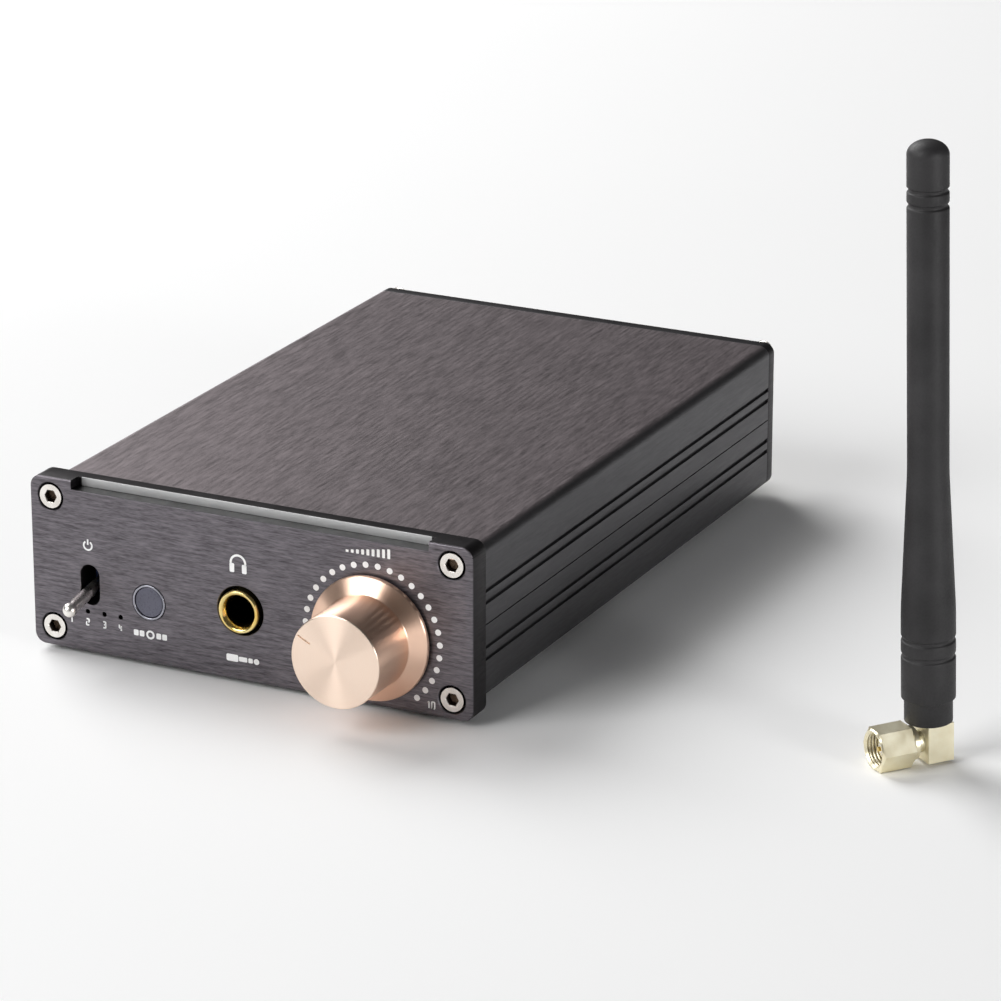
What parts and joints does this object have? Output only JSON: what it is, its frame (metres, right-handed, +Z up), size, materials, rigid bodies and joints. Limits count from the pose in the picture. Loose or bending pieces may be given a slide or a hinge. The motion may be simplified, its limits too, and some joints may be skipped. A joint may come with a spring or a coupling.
{
  "type": "bluetooth audio receiver",
  "caption": "Compact aluminium desktop wireless audio receiver with volume knob, toggle, mode button, headphone jack, rear sockets and a detached whip antenna.",
  "frame": {"origin": "centre of the lower shell's underside; the feet reach 3 mm below it", "axes": "+Z up, -Y out of the front panel towards the listener, +Y to the rear sockets, +X to the right seen from the front, where the antenna stands"},
  "size_m": [0.1905, 0.177, 0.1235],
  "materials": {
    "case_black": "black anodised, brushed front to back, bright silky sheen",
    "panel_black": "black anodised, brushed across",
    "screw_steel": "bright plated",
    "foot_rubber": "matt",
    "knob_copper": "rose-gold anodised, spun",
    "jack_gold": "gold plated, polished",
    "connector_gold": "pale gold plated",
    "whip_rubber": "satin moulded",
    "insulator_white": "moulded",
    "black_plastic": "moulded",
    "chip_black": "moulded epoxy",
    "button_grey": "smoked grey, satin",
    "switch_blue": "moulded",
    "can_steel": "tinned sheet",
    "lamp_lens": "smoked clear",
    "board_green": "solder mask",
    "sleeve_blue": "shrink sleeve",
    "phono_white": "collar white, barrel plated",
    "phono_red": "collar red, barrel plated",
    "phono_orange": "collar orange, barrel plated"
  },
  "bodies": {
    "case": {"upper_shell": "case_black", "lower_shell": "case_black", "front_panel": "panel_black", "rear_panel": "panel_black", "front_screw_1": "screw_steel", "front_screw_2": "screw_steel", "front_screw_3": "screw_steel", "front_screw_4": "screw_steel", "rear_screw_1": "screw_steel", "rear_screw_2": "screw_steel", "rear_screw_3": "screw_steel", "rear_screw_4": "screw_steel", "pot_nut": "screw_steel", "button_bezel": "screw_steel", "rubber_foot_1": "foot_rubber", "rubber_foot_2": "foot_rubber", "rubber_foot_3": "foot_rubber", "rubber_foot_4": "foot_rubber", "headphone_jack_bushing": "jack_gold", "antenna_jack": "connector_gold", "antenna_jack_nut": "connector_gold", "headphone_jack_body": "black_plastic", "optical_socket": "black_plastic", "dc_inlet": "black_plastic", "dac_chip": "chip_black", "opamp_1": "chip_black", "opamp_2": "chip_black", "regulator": "chip_black", "antenna_pigtail": "chip_black", "toggle_body": "switch_blue", "pot_body": "can_steel", "tact_switch": "can_steel", "bluetooth_shield_can": "can_steel", "crystal": "can_steel", "usb_socket": "can_steel", "indicator_led_1": "lamp_lens", "indicator_led_2": "lamp_lens", "indicator_led_3": "lamp_lens", "indicator_led_4": "lamp_lens", "main_board": "board_green", "bluetooth_module": "board_green", "capacitor_1": "sleeve_blue", "capacitor_2": "sleeve_blue", "capacitor_3": "sleeve_blue", "capacitor_4": "sleeve_blue", "line_out_left": "phono_white", "line_out_right": "phono_red", "coaxial_input": "phono_orange"},
    "knob": {"volume_knob": "knob_copper", "knob_set_screw": "screw_steel", "pot_shaft": "screw_steel"},
    "toggle": {"toggle_lever": "screw_steel"},
    "button": {"mode_button": "button_grey", "tact_plunger": "black_plastic"},
    "shutter": {"optical_shutter": "black_plastic"},
    "antenna": {"antenna_whip": "whip_rubber", "antenna_elbow": "connector_gold", "antenna_insulator": "insulator_white", "antenna_centre_pin": "jack_gold"},
    "antenna_nut": {"antenna_coupling_nut": "connector_gold"}
  },
  "joints": [
    {"name": "volume_turn", "type": "hinge", "parent": "case", "child": "knob", "pos_m": [0.0279, -0.0772, 0.0127], "axis": [0, 1, 0], "range_deg": [-77.1, 200.7]},
    {"name": "power_toggle", "type": "hinge", "parent": "case", "child": "toggle", "pos_m": [-0.0366, -0.0702, 0.0127], "axis": [-1, 0, 0], "range_deg": [0, 20.4]},
    {"name": "mode_press", "type": "slide", "parent": "case", "child": "button", "axis": [0, 1, 0], "range_m": [0, 0.0005], "stiffness_N_per_m": 2500},
    {"name": "optical_flap", "type": "hinge", "parent": "case", "child": "shutter", "pos_m": [-0.0095, 0.074, 0.01575], "axis": [-1, 0, 0], "range_deg": [0, 80], "stiffness_Nm_per_rad": 0.0005, "springref_deg": -17.19},
    {"name": "antenna_lift", "type": "slide", "parent": "case", "child": "antenna", "axis": [0, 0, 1], "range_m": [0, 0.03]},
    {"name": "coupling_nut_turn", "type": "hinge", "parent": "antenna", "child": "antenna_nut", "pos_m": [0.13025, -0.05833, 0.00116], "axis": [-0.6424, -0.7658, -0.0286], "continuous": true}
  ]
}
